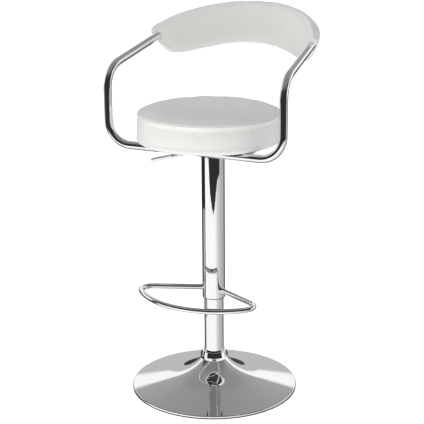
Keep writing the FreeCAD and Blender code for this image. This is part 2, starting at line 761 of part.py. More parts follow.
def foot_ring():
    """Half of the foot ring swept from its front to the sleeve, then mirrored; ends fit the sleeve."""
    body = body_of("foot_ring")
    path = foot_path(body)
    section = flat_sketch(body, "YZ_Plane", "Section")
    draw_circle(section, 0, foot_tube, (-foot_reach, ZERO))
    draw_circle(section, 1, foot_tube - foot_wall, (-foot_reach, ZERO))
    pipe = body.newObject("PartDesign::AdditivePipe", "Half")
    pipe.Profile = section
    pipe.Spine = (path, ["Edge1", "Edge2", "Edge3"])
    body.Tip = pipe
    doc.recompute()
    mirror = body.newObject("PartDesign::Mirrored", "Both_Halves")
    mirror.Originals = [pipe]
    mirror.MirrorPlane = (plane_of(body, "YZ_Plane"), [""])
    body.Tip = mirror
    doc.recompute()
    sketch = flat_sketch(body, "XY_Plane", "Sleeve_Room")
    draw_circle(sketch, 0, sleeve_radius)
    pocket = body.newObject("PartDesign::Pocket", "Sleeve_Pocket")
    pocket.Profile = sketch
    pocket.Midplane = True
    bind(pocket, Length=foot_tube * 4)
    body.Tip = pocket
    body.Placement.Rotation = FreeCAD.Rotation(FreeCAD.Vector(0, 0, 1), foot_turn.value)
    place(body, ZERO, ZERO, foot_height)
    doc.recompute()
    if not pocket.Shape.Volume < mirror.Shape.Volume:
        raise RuntimeError("the foot ring was not cut to the sleeve")
    return body


foot_ring()


def foot_collars():
    """The flared collars where the foot ring's two bars meet the sleeve."""
    collars = []
    for side in (1, -1):
        rotation = FreeCAD.Rotation(FreeCAD.Vector(0, 1, 0), side * FULL_TURN / 4)
        swing = FreeCAD.Rotation(FreeCAD.Vector(0, 0, 1), foot_turn.value - side * foot_sweep.value)
        cone = doc.addObject("Part::Cone", "Flare")
        bind(cone, Radius1=foot_collar, Radius2=foot_tube + foot_wall / 2)
        bind(cone, Height=sleeve_radius + foot_collar_length)
        bar = doc.addObject("Part::Cylinder", "Bar_Room")
        bind(bar, Radius=foot_tube, Height=(sleeve_radius + foot_collar_length) * 2)
        for item in (cone, bar):
            item.Placement = FreeCAD.Placement(FreeCAD.Vector(0, 0, 0), swing.multiply(rotation))
            place(item, ZERO, ZERO, foot_height)
        room = rod(sleeve_radius, foot_collar * 2, up=foot_height - foot_collar)
        collars.append(cut(cut(cone, bar), room))
    group(collars, "foot_collars")


foot_collars()

# ---------------------------------------------------------------- seat mechanism
def seat_hub():
    """The hub that grips the gas cylinder's top, slotted on the -X side for the lever."""
    section = turned(
        "seat_hub",
        [
            (cylinder_radius, hub_bottom),
            (hub_radius, hub_bottom),
            (hub_radius, seat_plate_bottom),
            (hub_throat, seat_plate_bottom),
            (hub_throat, cylinder_top),
            (cylinder_radius, cylinder_top),
        ],
    )
    parts.pop()
    section.Label = "seat_hub_blank"
    slot = block(
        hub_radius * 2, slot_half * 2, slot_height, -(hub_radius * 2), -slot_half, cylinder_top - slot_sill
    )
    room = rod(cylinder_radius, cylinder_top, up=ZERO)
    cut(section, cut(slot, room), "seat_hub")


seat_hub()


def seat_plate():
    """The steel plate under the seat board, with rounded corners and four bolt holes."""
    body = body_of("seat_plate")
    wide = plate_width / 2
    deep = plate_depth / 2
    sketch = outline(
        body, "XY_Plane", [(-wide, -deep), (wide, -deep), (wide, deep), (-wide, deep)], name="Plate"
    )
    pad = body.newObject("PartDesign::Pad", "Plate_Pad")
    pad.Profile = sketch
    bind(pad, Length=plate_sheet)
    body.Tip = pad
    soften(
        body,
        plate_corner,
        lambda edge: edge.BoundBox.ZLength > plate_sheet.value - TOLERANCE
        and edge.BoundBox.XLength < TOLERANCE
        and edge.BoundBox.YLength < TOLERANCE,
    )
    place(body, ZERO, -seat_bolt_head, seat_plate_bottom)
    parts.pop()
    body.Label = "seat_plate_blank"
    drills = doc.addObject("Part::Compound", "Plate_Drills")
    links = []
    for across, along in seat_bolt_places():
        links.append(rod(seat_bolt_radius + bolt_slack, plate_sheet, across, along, seat_plate_bottom))
    drills.Links = links
    cut(body, drills, "seat_plate")


def seat_bolt_places():
    """The places of the four seat bolts."""
    places = []
    for side in (-1, 1):
        for end in (-1, 1):
            places.append((plate_bolt_side * side, plate_bolt_fore * end - seat_bolt_head))
    return places


seat_plate()


def seat_bolts():
    """Four pan-headed bolts that hold the plate to the board."""
    bolts = []
    for across, along in seat_bolt_places():
        head_bottom = seat_plate_bottom - seat_bolt_head_height
        head = rod(seat_bolt_head, seat_bolt_head_height, across, along, head_bottom)
        shank = rod(seat_bolt_radius, plate_sheet + seat_bolt_grip, across, along, seat_plate_bottom)
        bolts.append(fuse([head, shank]))
    group(bolts, "seat_bolts")


seat_bolts()


def lever_bracket():
    """Two ears that hang from the plate on either side of the lever."""
    ears = []
    ear_bottom = seat_plate_bottom - bracket_drop
    for start in (bracket_gap, -bracket_gap - bracket_sheet):
        ear = block(
            bracket_width, bracket_sheet, bracket_drop, -lever_pivot - bracket_width / 3, start, ear_bottom
        )
        hole = level_rod(pin_radius, bracket_sheet * 3, -lever_pivot, start - bracket_sheet, lever_height)
        ears.append(cut(ear, hole))
    group(ears, "lever_bracket")


lever_bracket()
pin_half = bracket_gap + bracket_sheet
keep(level_rod(pin_radius, pin_half * 2, -lever_pivot, -pin_half, lever_height), "lever_pin")

# ---------------------------------------------------------------- seat
def seat_board():
    """The round board with its bolt holes."""
    disc = rod(board_radius, board_thickness, ZERO, -seat_offset, seat_bottom)
    links = []
    for across, along in seat_bolt_places():
        links.append(rod(seat_bolt_radius, seat_bolt_grip, across, along, seat_bottom))
    for side in (-1, 1):
        links.append(rod(seat_bolt_radius, seat_bolt_grip, tab_side * side, tab_screw_along, seat_bottom))
    drills = doc.addObject("Part::Compound", "Board_Drills")
    drills.Links = links
    cut(disc, drills, "seat_board")


tab_screw_along = tab_length - tab_screw_inset - arm_forward
seat_board()


def seat_cushion():
    """The plain foam body: rounded below, with a sloped shoulder and a low crown on top."""
    recess = board_radius + wrap_gap
    recess_top = seat_bottom + board_thickness
    lower_edge = seat_bottom + wrap_gap
    turned(
        "seat_cushion",
        [
            (recess, lower_edge),
            (seat_radius - seat_foot_round, lower_edge),
            (seat_radius, lower_edge + seat_foot_round),
            (seat_radius, seat_seam),
            (seat_radius - seat_top_round, (seat_seam + seat_crown * 2) / 3),
            (ZERO, seat_crown),
            (ZERO, recess_top),
            (recess, recess_top),
        ],
        {1: (seat_foot_round, 1)},
        out=-seat_offset,
    )


seat_cushion()

# ---------------------------------------------------------------- arm frame
def arm_points():
    """The corners of the arm frame's centre line from one end to the other."""
    turn = math.radians(arm_end_turn.value)
    rise = (arm_rear_height.value - arm_top.value) / (arm_rear_back.value + arm_forward.value)
    run = arm_end_run.value
    half = [
        FreeCAD.Vector(arm_half_width.value, -arm_forward.value, arm_cross_height.value),
        FreeCAD.Vector(arm_half_width.value, -arm_forward.value, arm_top.value),
        FreeCAD.Vector(arm_rear_side.value, arm_rear_back.value, arm_rear_height.value),
    ]
    step = FreeCAD.Vector(-math.sin(turn), math.cos(turn), rise * math.cos(turn) / 2).normalize()
    half.append(half[-1] + step * run)
    other = [FreeCAD.Vector(-p.x, p.y, p.z) for p in half]
    return list(reversed(other)) + half


def bent_wire(points, radii):
    """Straight runs joined by tangent arcs of the given radii."""
    edges = []
    start = points[0]
    for number in range(1, len(points) - 1):
        corner = points[number]
        before = (points[number - 1] - corner).normalize()
        after = (points[number + 1] - corner).normalize()
        half_angle = before.getAngle(after) / 2
        radius = radii[number - 1]
        back = radius / math.tan(half_angle)
        first = corner + before * back
        last = corner + after * back
        middle_line = (before + after).normalize()
        middle = corner + middle_line * (radius / math.sin(half_angle) - radius)
        edges.append(Part.LineSegment(start, first).toShape())
        edges.append(Part.Arc(first, middle, last).toShape())
        start = last
    edges.append(Part.LineSegment(start, points[-1]).toShape())
    return Part.Wire(edges)


def swept(wire, points, radius):
    """A round bar of the given radius along a bent wire."""
    direction = (points[1] - points[0]).normalize()
    section = Part.Wire([Part.Circle(points[0], direction, radius).toShape()])
    return wire.makePipeShell([section], True, True)


def arm_frame():
    """One bent tube: both arms and the cross tube under the front of the seat."""
    points = arm_points()
    low = arm_low_bend.value
    top = arm_top_bend.value
    rear = arm_rear_bend.value
    wire = bent_wire(points, [rear, top, low, low, top, rear])
    outer = swept(wire, points, arm_tube.value)
    inner = swept(wire, points, arm_tube.value - arm_wall.value)
    expected = math.pi * arm_tube.value ** 2 * wire.Length
    if abs(outer.Volume - expected) > expected / 100:
        raise RuntimeError("the arm frame's sweep has the wrong volume")
    item = doc.addObject("Part::Feature", "Arm_Frame")
    item.Shape = outer.cut(inner)
    item.Placement = FreeCAD.Placement()
    keep(item, "arm_frame")
    return outer


arm_solid = arm_frame()


def frame_tabs():
    """Two flat tabs welded behind the cross tube and screwed to the seat board."""
    tabs = []
    screws = []
    tab_bottom = seat_bottom - tab_sheet
    for side in (-1, 1):
        middle = tab_side * side
        tab = block(
            tab_width, tab_length - tab_start, tab_sheet,
            middle - tab_width / 2, tab_start - arm_forward, tab_bottom,
        )
        tube = doc.addObject("Part::Cylinder", "Tube_Room")
        bind(tube, Radius=arm_tube, Height=tab_width * 2)
        tube.Placement.Rotation = FreeCAD.Rotation(FreeCAD.Vector(0, 1, 0), FULL_TURN / 4)
        place(tube, middle - tab_width, -arm_forward, arm_cross_height)
        hole = rod(seat_bolt_radius, tab_sheet, middle, tab_screw_along, tab_bottom)
        tabs.append(cut(cut(tab, tube), hole))
        head_bottom = tab_bottom - seat_bolt_head_height
        head = rod(seat_bolt_head, seat_bolt_head_height, middle, tab_screw_along, head_bottom)
        shank = rod(seat_bolt_radius, tab_sheet + seat_bolt_grip, middle, tab_screw_along, tab_bottom)
        screws.append(fuse([head, shank]))
    group(tabs, "frame_tabs")
    group(screws, "frame_screws")


frame_tabs()

# ---------------------------------------------------------------- backrest
def arc_radius(half_chord, rise):
    """Radius of the arc through the ends of a chord with the given rise."""
    return (half_chord * half_chord + rise * rise) / (rise * 2)


def back_blank(label, inset, inner, outer):
    """A curved slab with the backrest's arched outline, between two radii."""
    body = doc.addObject("PartDesign::Body", label + "_outline")
    body.Label = label + "_outline"
    top_side = back_top_side - inset
    top_end = back_top_end - inset
    low_side = back_low_side - inset
    low_end = back_low_end + inset
    top_bow = arc_radius(top_side, back_top - inset - top_end)
    low_bow = arc_radius(low_side, back_arch + inset - low_end)
    sketch = outline(
        body,
        "XZ_Plane",
        [(-low_side, low_end), (low_side, low_end), (top_side, top_end), (-top_side, top_end)],
        {0: (low_bow, -1), 2: (top_bow, 1)},
    )
    pad = body.newObject("PartDesign::Pad", "Slab")
    pad.Profile = sketch
    bind(pad, Length=outer * 2)
    pad.Midplane = True
    body.Tip = pad
    doc.recompute()
    for radius, height in ((back_top_round - inset, top_end), (back_low_round - inset, low_end)):
        soften(
            body,
            radius,
            lambda edge: isinstance(edge.Curve, Part.Line)
            and edge.BoundBox.YLength > outer.value
            and abs(edge.BoundBox.ZMin - height.value) < TOLERANCE * 1000,
        )
    height = (back_top - back_low_end) * 2
    sector = rod(outer, height, ZERO, ZERO, -height / 2)
    bind(sector, Angle=back_spread * 2)
    first = FULL_TURN / 4 - back_spread.value
    sector.Placement.Rotation = FreeCAD.Rotation(FreeCAD.Vector(0, 0, 1), first)
    place(sector, ZERO, ZERO, -height / 2)
    rear = cut(sector, rod(inner, height, ZERO, ZERO, -height / 2))
    item = doc.addObject("Part::Common", label + "_slab")
    item.Base = body
    item.Tool = rear
    item.Placement.Rotation = FreeCAD.Rotation(FreeCAD.Vector(1, 0, 0), -back_tilt.value)
    return place(item, ZERO, back_axis_along, back_axis_up)


def tube_room():
    """The room that the arm frame's ends take up inside the backrest."""
    item = doc.addObject("Part::Feature", "Arm_Room")
    item.Shape = arm_solid.copy()
    item.Placement = FreeCAD.Placement()
    return item


cut(back_blank("backrest_front", ZERO, back_inner, board_inner), tube_room(), "backrest_front")
cut(back_blank("backrest_board", back_inset, board_inner, board_outer), tube_room(), "backrest_board")
cut(back_blank("backrest_rear", back_rear_inset, board_outer, back_outer), tube_room(), "backrest_rear")

# ---------------------------------------------------------------- lever and valve
lever_turn = FreeCAD.Rotation(FreeCAD.Vector(0, 1, 0), -(FULL_TURN / 4 + lever_droop.value))


def along_lever(distance):
    """A point on the lever's axis at a distance outside its pivot, across and up."""
    return (
        -lever_pivot - distance * lever_droop.cosine(),
        lever_height - distance * lever_droop.sine(),
    )


def release_lever():
    """A straight rod that pivots in the bracket, with its nose over the valve."""
    across, up = along_lever(-lever_nose)
    bar = doc.addObject("Part::Cylinder", "Lever_Bar")
    bind(bar, Radius=lever_rod, Height=lever_nose + lever_reach - paddle_length)
    bar.Placement.Rotation = lever_turn
    place(bar, across, ZERO, up)
    hole = level_rod(pin_radius + running_gap, lever_rod * 4, -lever_pivot, -lever_rod * 2, lever_height)
    cut(bar, hole, "release_lever")


release_lever()


def lever_paddle():
    """The flat grip at the lever's end."""
    body = body_of("lever_paddle")
    wide = paddle_width / 2
    tall = paddle_height / 2
    sketch = outline(
        body, "XY_Plane", [(-tall, -wide), (tall, -wide), (tall, wide), (-tall, wide)], name="Grip"
    )
    pad = body.newObject("PartDesign::Pad", "Grip_Pad")
    pad.Profile = sketch
    bind(pad, Length=paddle_length)
    body.Tip = pad
    soften(body, paddle_round, lambda edge: abs(edge.BoundBox.ZMin) > TOLERANCE or edge.BoundBox.ZLength > 1)
    across, up = along_lever(lever_reach - paddle_length)
    body.Placement.Rotation = lever_turn
    place(body, across, ZERO, up)


lever_paddle()


def valve_pin():
    """The pin in the cylinder's end; its head lies just under the lever's nose."""
    nose_height = lever_height + lever_pivot * lever_droop.sine() / lever_droop.cosine()
    nose_under = nose_height - lever_rod / lever_droop.cosine()
    side_drop = valve_radius * lever_droop.sine() / lever_droop.cosine()
    pin_top = nose_under - side_drop - valve_gap
    pin_bottom = cylinder_top - valve_depth
    turned(
        "valve_pin",
        [(ZERO, pin_bottom), (valve_radius, pin_bottom), (valve_radius, pin_top), (ZERO, pin_top)],
    )


valve_pin()

# ---------------------------------------------------------------- checks and files
doc.recompute()
for item in doc.Objects:
    if "Invalid" in item.State or "Error" in item.State:
        raise RuntimeError("%s (%s) failed: %s" % (item.Label, item.Name, item.State))
for item in parts:
    if item.Shape.isNull() or not item.Shape.isValid() or not item.Shape.Solids:
        raise RuntimeError(item.Label + " has no valid solid")
os.makedirs("parts", exist_ok=True)
for item in parts:
    item.Shape.exportStep(os.path.join("parts", item.Label + ".step"))
print(len(parts), "parts written")
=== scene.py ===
"""Visual model of a swivel bar stool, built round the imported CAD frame: metres, +Z up, sitter facing -Y."""
import json
import math

import bpy
from mathutils import Matrix, Vector, noise
from mathutils.bvhtree import BVHTree


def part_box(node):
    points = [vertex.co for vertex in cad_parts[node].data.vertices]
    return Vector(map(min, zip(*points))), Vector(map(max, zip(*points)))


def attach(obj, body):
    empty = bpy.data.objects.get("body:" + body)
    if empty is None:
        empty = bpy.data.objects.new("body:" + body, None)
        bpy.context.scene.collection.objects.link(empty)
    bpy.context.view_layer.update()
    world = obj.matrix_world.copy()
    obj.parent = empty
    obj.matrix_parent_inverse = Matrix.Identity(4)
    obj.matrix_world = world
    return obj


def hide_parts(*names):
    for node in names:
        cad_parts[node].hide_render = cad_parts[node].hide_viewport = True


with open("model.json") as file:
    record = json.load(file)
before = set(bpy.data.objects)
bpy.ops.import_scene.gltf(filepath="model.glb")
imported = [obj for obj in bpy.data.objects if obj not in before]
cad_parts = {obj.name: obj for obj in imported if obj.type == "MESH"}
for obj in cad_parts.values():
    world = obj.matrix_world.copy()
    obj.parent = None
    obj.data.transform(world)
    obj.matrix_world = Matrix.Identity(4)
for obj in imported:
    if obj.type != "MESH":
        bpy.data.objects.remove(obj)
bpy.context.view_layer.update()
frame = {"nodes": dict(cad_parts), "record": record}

MM = 0.001
TAU = math.tau
CAMERA_SIDE = 26.32  # degrees that the camera stands round from the stool's front
scene = bpy.context.scene
nodes = frame["nodes"]


# ---------------------------------------------------------------- camera
def photo_camera():
    """A long lens at the height of a person's chest, looking down at the stool."""
    distance, height = 2.73625, 1.24014
    focal_pixels, frame_pixels = 1175.35, 424
    azimuth, pan = math.radians(CAMERA_SIDE), math.radians(26.39)
    pitch, roll = math.radians(16.09), math.radians(-0.39)
    data = bpy.data.cameras.new("photo_camera")
    data.sensor_width = 36.0
    data.lens = focal_pixels / frame_pixels * data.sensor_width
    data.clip_start, data.clip_end = 0.05, 100.0
    camera = bpy.data.objects.new("photo_camera", data)
    scene.collection.objects.link(camera)
    ahead = Vector((-math.sin(pan) * math.cos(pitch), math.cos(pan) * math.cos(pitch), -math.sin(pitch)))
    right = Vector((math.cos(pan), math.sin(pan), 0.0))
    up = right.cross(ahead)
    side = right * math.cos(roll) + up * math.sin(roll)
    top = up * math.cos(roll) - right * math.sin(roll)
    turn = Matrix((side, top, -ahead)).transposed().to_4x4()
    place = Vector((distance * math.sin(azimuth), -distance * math.cos(azimuth), height))
    camera.matrix_world = Matrix.Translation(place) @ turn
    scene.camera = camera


photo_camera()
scene.view_settings.view_transform = "Standard"
scene.view_settings.look = "None"


# ---------------------------------------------------------------- materials
class Look:
    """A principled material whose variation, roughness and bump come from procedural nodes."""

    def __init__(self, name, colour, rough, metal=0.0, coords="Object"):
        self.material = bpy.data.materials.new(name)
        self.material.use_nodes = True
        self.tree = self.material.node_tree
        self.shader = self.tree.nodes["Principled BSDF"]
        self.colour = colour
        self.shader.inputs["Base Color"].default_value = (*colour, 1.0)
        self.shader.inputs["Roughness"].default_value = rough
        self.shader.inputs["Metallic"].default_value = metal
        self.place = self.tree.nodes.new("ShaderNodeTexCoord").outputs[coords]
        self.material.diffuse_color = (*colour, 1.0)

    def put(self, **values):
        for name, value in values.items():
            self.shader.inputs[name.replace("_", " ")].default_value = value
        return self

    def node(self, kind, settings=None, **inputs):
        made = self.tree.nodes.new("ShaderNode" + kind)
        for name, value in (settings or {}).items():
            setattr(made, name, value)
        for name, value in inputs.items():
            socket = made.inputs[name.replace("_", " ")]
            if isinstance(value, bpy.types.NodeSocket):
                self.tree.links.new(value, socket)
            else:
                socket.default_value = value
        return made

    def stretched(self, x, y, z):
        return self.node("Mapping", Vector=self.place, Scale=(x, y, z)).outputs["Vector"]

    def noise(self, scale, detail=2.0, rough=0.5, warp=0.0, at=None):
        made = self.node(
            "TexNoise", Vector=at or self.place, Scale=scale, Detail=detail, Roughness=rough, Distortion=warp
        )
        return made.outputs["Fac"]

    def cells(self, scale, feature="DISTANCE_TO_EDGE", at=None):
        made = self.node("TexVoronoi", {"feature": feature}, Vector=at or self.place, Scale=scale)
        return made.outputs["Distance"]

    def mapped(self, value, low, high, out_low, out_high):
        made = self.node("MapRange", Value=value)
        for number, amount in enumerate((low, high, out_low, out_high), start=1):
            made.inputs[number].default_value = amount
        return made.outputs["Result"]

    def radius(self):
        """Distance from the upright axis."""
        flat = self.node("VectorMath", {"operation": "MULTIPLY"})
        self.tree.links.new(self.place, flat.inputs[0])
        flat.inputs[1].default_value = (1.0, 1.0, 0.0)
        length = self.node("VectorMath", {"operation": "LENGTH"})
        self.tree.links.new(flat.outputs["Vector"], length.inputs[0])
        return length.outputs["Value"]

    def colours(self, value, *stops):
        """Drive the colour by value through (place, colour) stops."""
        ramp = self.node("ValToRGB", Fac=value)
        marks = ramp.color_ramp.elements
        while len(marks) < len(stops):
            marks.new(0.5)
        for mark, (place, colour) in zip(marks, stops):
            mark.position = place
            mark.color = (*colour, 1.0)
        self.tree.links.new(ramp.outputs["Color"], self.shader.inputs["Base Color"])
        return self

    def roughness(self, value):
        self.tree.links.new(value, self.shader.inputs["Roughness"])
        return self

    def bump(self, height, depth, strength=1.0):
        socket = self.shader.inputs["Normal"]
        made = self.node("Bump", Height=height, Strength=strength, Distance=depth)
        if socket.is_linked:
            self.tree.links.new(socket.links[0].from_socket, made.inputs["Normal"])
        self.tree.links.new(made.outputs["Normal"], socket)
        return self


def shade(colour, factor):
    return tuple(min(1.0, part * factor) for part in colour)


def chrome(name, spun=False):
    """Bright plate: a faint orange peel, wiped smudges, and turning lines where it was spun."""
    base = (0.90, 0.91, 0.915)
    look = Look(name, base, 0.05, 1.0)
    look.colours(look.noise(9.0, 3.0), (0.35, shade(base, 0.965)), (0.65, base))
    smudge = look.noise(14.0, 4.0, 0.6, 0.8)
    look.roughness(look.mapped(smudge, 0.42, 0.75, 0.03, 0.07))
    look.bump(look.noise(55.0, 1.0), 0.00002)
    if spun:
        rings = look.noise(900.0, 2.0, at=look.node("CombineXYZ", X=look.radius()).outputs["Vector"])
        look.bump(rings, 0.000012)
    return look.material


def bright_zinc():
    base = (0.62, 0.63, 0.65)
    look = Look("zinc_plate", base, 0.3, 1.0)
    look.colours(look.cells(260.0, "F1"), (0.1, shade(base, 0.86)), (0.8, shade(base, 1.08)))
    look.roughness(look.mapped(look.noise(70.0, 3.0), 0.3, 0.7, 0.24, 0.42))
    look.bump(look.noise(900.0, 2.0), 0.00003)
    return look.material


def ground_steel():
    base = (0.52, 0.53, 0.55)
    look = Look("ground_steel", base, 0.25, 1.0)
    lines = look.noise(60.0, 4.0, at=look.stretched(4.0, 4.0, 60.0))
    look.colours(lines, (0.3, shade(base, 0.85)), (0.7, shade(base, 1.1)))
    look.roughness(look.mapped(lines, 0.3, 0.7, 0.18, 0.34))
    look.bump(lines, 0.00002)
    return look.material


def powder_coat():
    """Textured black paint with a light dust in its hollows."""
    base = (0.022, 0.022, 0.024)
    look = Look("black_powder_coat", base, 0.45)
    look.colours(look.noise(40.0, 4.0), (0.35, base), (0.75, shade(base, 1.8)))
    look.roughness(look.mapped(look.noise(120.0, 2.0), 0.3, 0.7, 0.36, 0.55))
    look.bump(look.noise(1400.0, 2.0), 0.00006)
    return look.material


def cast_metal():
    base = (0.09, 0.09, 0.095)
    look = Look("cast_ballast", base, 0.7, 0.3)
    look.colours(look.noise(60.0, 5.0), (0.3, shade(base, 0.7)), (0.7, shade(base, 1.4)))
    look.bump(look.noise(500.0, 4.0, 0.7), 0.0003)
    return look.material


def moulded_rubber():
    base = (0.02, 0.02, 0.02)
    look = Look("black_rubber", base, 0.72)
    look.colours(look.noise(50.0, 4.0), (0.3, base), (0.8, shade(base, 2.4)))
    look.roughness(look.mapped(look.noise(90.0, 3.0), 0.3, 0.7, 0.62, 0.82))
    look.bump(look.noise(1100.0, 3.0), 0.00008)
    return look.material


def moulded_plastic():
    base = (0.028, 0.028, 0.03)
    look = Look("black_plastic", base, 0.42)
    look.colours(look.noise(30.0, 3.0), (0.3, base), (0.75, shade(base, 1.5)))
    look.roughness(look.mapped(look.noise(60.0, 2.0), 0.3, 0.7, 0.36, 0.5))
    look.bump(look.cells(900.0), 0.00005)
    return look.material


def leatherette():
    """White coated cloth: a pebbled grain, pores, soft creases and a satin coat."""
    base = (0.80, 0.80, 0.78)
    look = Look("white_leatherette", base, 0.42)
    look.put(Coat_Weight=0.18, Coat_Roughness=0.28, Sheen_Weight=0.08, Sheen_Roughness=0.5, IOR=1.48)
    warp = look.node("VectorMath", {"operation": "MULTIPLY_ADD"})
    swirl = look.node("TexNoise", Vector=look.place, Scale=160.0, Detail=2.0)
    look.tree.links.new(swirl.outputs["Color"], warp.inputs[0])
    warp.inputs[1].default_value = (0.0016, 0.0016, 0.0016)
    look.tree.links.new(look.place, warp.inputs[2])
    pebbles = look.cells(620.0, at=warp.outputs["Vector"])
    grain = look.mapped(pebbles, 0.0, 0.22, 0.0, 1.0)
    patches = look.noise(7.0, 4.0, 0.55)
    look.colours(patches, (0.3, shade(base, 0.965)), (0.7, base))
    look.roughness(look.mapped(look.noise(24.0, 3.0), 0.3, 0.7, 0.36, 0.5))
    look.bump(look.noise(18.0, 2.0), 0.0012, 0.55)
    look.bump(look.noise(2600.0, 2.0), 0.00003)
    look.bump(grain, 0.00010, 0.8)
    return look.material


def plywood():
    """Birch ply whose downward-facing underside is painted near-black with a fine cell weave, as painted shade
    for the dark under the seat.
    """
    base = (0.62, 0.45, 0.28)
    look = Look("birch_plywood", base, 0.6)
    grain = look.noise(9.0, 6.0, 0.65, 1.2, at=look.stretched(2.0, 26.0, 60.0))
    look.colours(grain, (0.25, shade(base, 0.72)), (0.5, base), (0.8, shade(base, 1.22)))
    look.roughness(look.mapped(grain, 0.3, 0.7, 0.52, 0.7))
    # Painted shade: faces that point down are turned near-black, standing in for the shade under the seat.
    facing = look.node("TexCoord").outputs["Normal"]
    height = look.node("SeparateXYZ", Vector=facing).outputs["Z"]
    underside_shade_colour = look.node("ValToRGB", Fac=look.cells(700.0))
    underside_shade_colour.color_ramp.elements[0].color = (0.012, 0.012, 0.012, 1)
    underside_shade_colour.color_ramp.elements[1].color = (0.045, 0.045, 0.045, 1)
    underside_shade_mix = look.node("Mix", {"data_type": "RGBA"})
    look.tree.links.new(look.mapped(height, -0.8, -0.6, 1.0, 0.0), underside_shade_mix.inputs["Factor"])
    look.tree.links.new(look.shader.inputs["Base Color"].links[0].from_socket, underside_shade_mix.inputs[6])
    look.tree.links.new(underside_shade_colour.outputs["Color"], underside_shade_mix.inputs[7])
    look.tree.links.new(underside_shade_mix.outputs[2], look.shader.inputs["Base Color"])
    look.bump(look.noise(30.0, 5.0, at=look.stretched(3.0, 60.0, 60.0)), 0.0002)
    return look.material


def thread():
    base = (0.86, 0.86, 0.84)
    look = Look("white_thread", base, 0.6)
    look.put(Sheen_Weight=0.3, Sheen_Roughness=0.4)
    look.colours(look.noise(400.0, 2.0), (0.3, shade(base, 0.85)), (0.7, base))
    look.bump(look.noise(4000.0, 2.0), 0.00004)
    return look.material


finishes = {
    "chrome_tube": chrome("chrome_tube"),
    "chrome_base": chrome("chrome_base", spun=True),
    "zinc_steel": bright_zinc(),
    "raw_steel": ground_steel(),
    "black_steel": powder_coat(),
    "cast_ballast": cast_metal(),
    "black_rubber": moulded_rubber(),
    "black_plastic": moulded_plastic(),
    "white_leatherette": leatherette(),
    "plywood": plywood(),
}

for part in frame["record"]["subparts"]:
    node = nodes[part["node"]]
    finish = finishes[part["material_slot"]]
    if not node.data.materials:
        node.data.materials.append(finish)
    for place in node.material_slots:
        place.material = finish


# ---------------------------------------------------------------- mesh helpers
def mesh_piece(name, points, faces, material, body):
    mesh = bpy.data.meshes.new(name)
    mesh.from_pydata([tuple(p) for p in points], [], faces)
    mesh.validate()
    mesh.polygons.foreach_set("use_smooth", [True] * len(mesh.polygons))
    mesh.update()
    piece = bpy.data.objects.new(name, mesh)
    scene.collection.objects.link(piece)
    mesh.materials.append(material)
    if body:
        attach(piece, body)
    return piece


def skin_faces(rings, count):
    """Quads between closed rings of count points, with a fan to a pole point at each end."""
    faces = []
    for row in range(rings - 1):
        for step in range(count):
            after = (step + 1) % count
            here, above = row * count, (row + 1) * count
            faces.append((here + step, here + after, above + after, above + step))
    first, last = rings * count, rings * count + 1
    top = (rings - 1) * count
    for step in range(count):
        after = (step + 1) % count
        faces.append((first, after, step))
        faces.append((last, top + step, top + after))
    return faces


def skin_points(rings):
    """All ring points, then the middle of the first and of the last ring."""
    points = [point for ring in rings for point in ring]
    for ring in (rings[0], rings[-1]):
        points.append(sum(ring, Vector()) / len(ring))
    return points


def smooth_step(value, low, high):
    share = min(1.0, max(0.0, (value - low) / (high - low)))
    return share * share * (3 - 2 * share)


def swell(name, rings, voxel, pressure, most, frozen):
    """The surface of a remeshed copy of a skin, blown up as cloth, as a tree to snap to.

    frozen(point) says how firmly a point is held, from 0 to 1. No point moves further than most.
    """
    last_frame = 20
    points = skin_points(rings)
    faces = skin_faces(len(rings), len(rings[0]))
    blank = mesh_piece(name, points, faces, finishes["white_leatherette"], None)
    remesh = blank.modifiers.new("remesh", "REMESH")
    remesh.mode = "VOXEL"
    remesh.voxel_size = voxel
    bpy.context.view_layer.update()
    solid = bpy.data.meshes.new_from_object(blank.evaluated_get(bpy.context.evaluated_depsgraph_get()))
    blank.modifiers.clear()
    blank.data = solid
    start = [vertex.co.copy() for vertex in solid.vertices]
    held = blank.vertex_groups.new(name="held")
    for index, point in enumerate(start):
        weight = frozen(point)
        if weight > 0:
            held.add([index], weight, "REPLACE")
    cloth = blank.modifiers.new("cloth", "CLOTH")
    settings = cloth.settings
    settings.quality = 6
    settings.mass = 0.3
    settings.tension_stiffness = settings.compression_stiffness = 12.0
    settings.shear_stiffness = 6.0
    settings.bending_stiffness = 0.8
    settings.use_pressure = True
    settings.uniform_pressure_force = pressure
    settings.vertex_group_mass = "held"
    settings.effector_weights.gravity = 0.0
    cloth.point_cache.frame_start, cloth.point_cache.frame_end = 1, last_frame
    for frame_number in range(1, last_frame + 1):
        scene.frame_set(frame_number)
    done = blank.evaluated_get(bpy.context.evaluated_depsgraph_get()).to_mesh()
    finish = []
    for was, vertex in zip(start, done.vertices):
        move = vertex.co - was
        if move.length > most:
            move *= most / move.length
        finish.append(was + move)
    blank.modifiers.clear()
    scene.frame_set(1)
    faces = [tuple(polygon.vertices) for polygon in solid.polygons]
    tree = BVHTree.FromPolygons(finish, faces)
    bpy.data.objects.remove(blank)
    return tree


def snap(point, tree, reach=0.03):
    place, normal, _, _ = tree.find_nearest(point, reach)
    return (place, normal) if place is not None else (point.copy(), Vector((0, 0, 1)))


def hill(distance, width):
    return math.exp(-((distance / width) ** 2))


